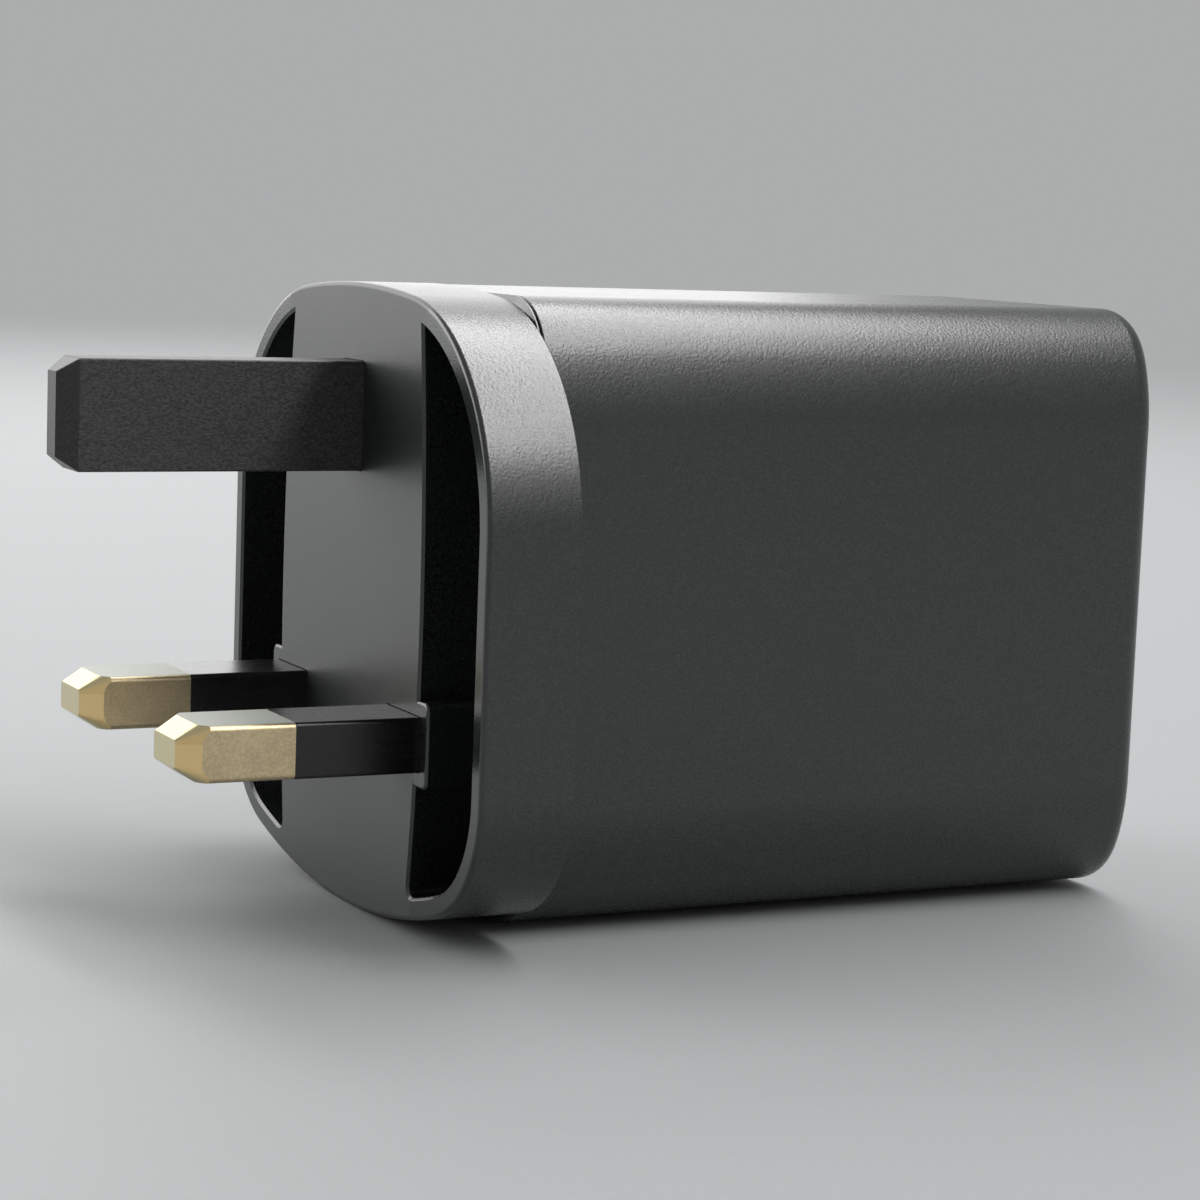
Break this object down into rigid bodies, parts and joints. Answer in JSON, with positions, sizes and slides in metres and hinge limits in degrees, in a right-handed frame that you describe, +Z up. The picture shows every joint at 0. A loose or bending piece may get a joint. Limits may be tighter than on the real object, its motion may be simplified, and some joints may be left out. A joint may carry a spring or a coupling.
{
  "type": "phone wall charger",
  "caption": "Wall charger with a mains plug: a flared collar carries sleeved brass pins and a moulded earth pin, and a block-shaped body behind it holds the electronics and output sockets.",
  "frame": {"origin": "middle of the underside of the charger's box, level with the lowest point of the collar", "axes": "+X from the pins to the output end, +Y towards the live pin's side, +Z up towards the earth pin"},
  "size_m": [0.0824, 0.0494, 0.0461],
  "materials": {
    "base_plastic": "fine spark-eroded satin, near-black",
    "housing_plastic": "fine spark-eroded satin, near-black",
    "panel_plastic": "polished black",
    "earth_pin_plastic": "matte moulded, brownish black",
    "pin_brass": "satin drawn brass with a pale lacquer",
    "sleeve_plastic": "smooth satin black",
    "contact_metal": "tinned stamped strip",
    "board_laminate": "glass-filled laminate with green solder mask",
    "insulating_film": "thin polyester film",
    "spreader_aluminium": "rolled sheet",
    "chip_moulding": "moulded epoxy",
    "thermal_pad": "soft silicone pad",
    "film_capacitor_case": "filled plastic case",
    "fuse_body": "glazed tube",
    "capacitor_can": "drawn can",
    "choke_ring": "coated ferrite ring",
    "enamelled_copper": "enamelled copper wire",
    "bobbin_plastic": "moulded phenolic",
    "disc_coating": "dipped epoxy",
    "transformer_ferrite": "pressed and ground ferrite",
    "taped_winding": "polyester tape over copper",
    "port_shell_metal": "nickel plated steel",
    "port_insulator_plastic": "moulded plastic"
  },
  "bodies": {
    "root": {"plug_base": "base_plastic", "main_housing": "housing_plastic", "output_panel": "panel_plastic", "earth_pin": "earth_pin_plastic", "live_pin": "pin_brass", "neutral_pin": "pin_brass", "live_pin_sleeve": "sleeve_plastic", "neutral_pin_sleeve": "sleeve_plastic", "live_contact_strip": "contact_metal", "neutral_contact_strip": "contact_metal", "main_board": "board_laminate", "output_board": "board_laminate", "insulating_sheet": "insulating_film", "heat_spreader": "spreader_aluminium", "bridge_rectifier": "chip_moulding", "bridge_rectifier_pad": "thermal_pad", "power_switch": "chip_moulding", "power_switch_pad": "thermal_pad", "film_capacitor": "film_capacitor_case", "fuse": "fuse_body", "bulk_capacitor_1": "capacitor_can", "bulk_capacitor_2": "capacitor_can", "choke_core": "choke_ring", "choke_winding_live": "enamelled_copper", "choke_winding_neutral": "enamelled_copper", "choke_base": "bobbin_plastic", "safety_capacitor": "disc_coating", "transformer_core_lower": "transformer_ferrite", "transformer_core_upper": "transformer_ferrite", "transformer_bobbin": "bobbin_plastic", "transformer_winding": "taped_winding", "output_capacitor_upper": "capacitor_can", "output_capacitor_lower": "capacitor_can", "port_controller": "chip_moulding", "usb_c_upper_shell": "port_shell_metal", "usb_c_upper_insulator": "port_insulator_plastic", "usb_c_lower_shell": "port_shell_metal", "usb_c_lower_insulator": "port_insulator_plastic", "usb_a_shell": "port_shell_metal", "usb_a_insulator": "port_insulator_plastic"}
  },
  "joints": []
}
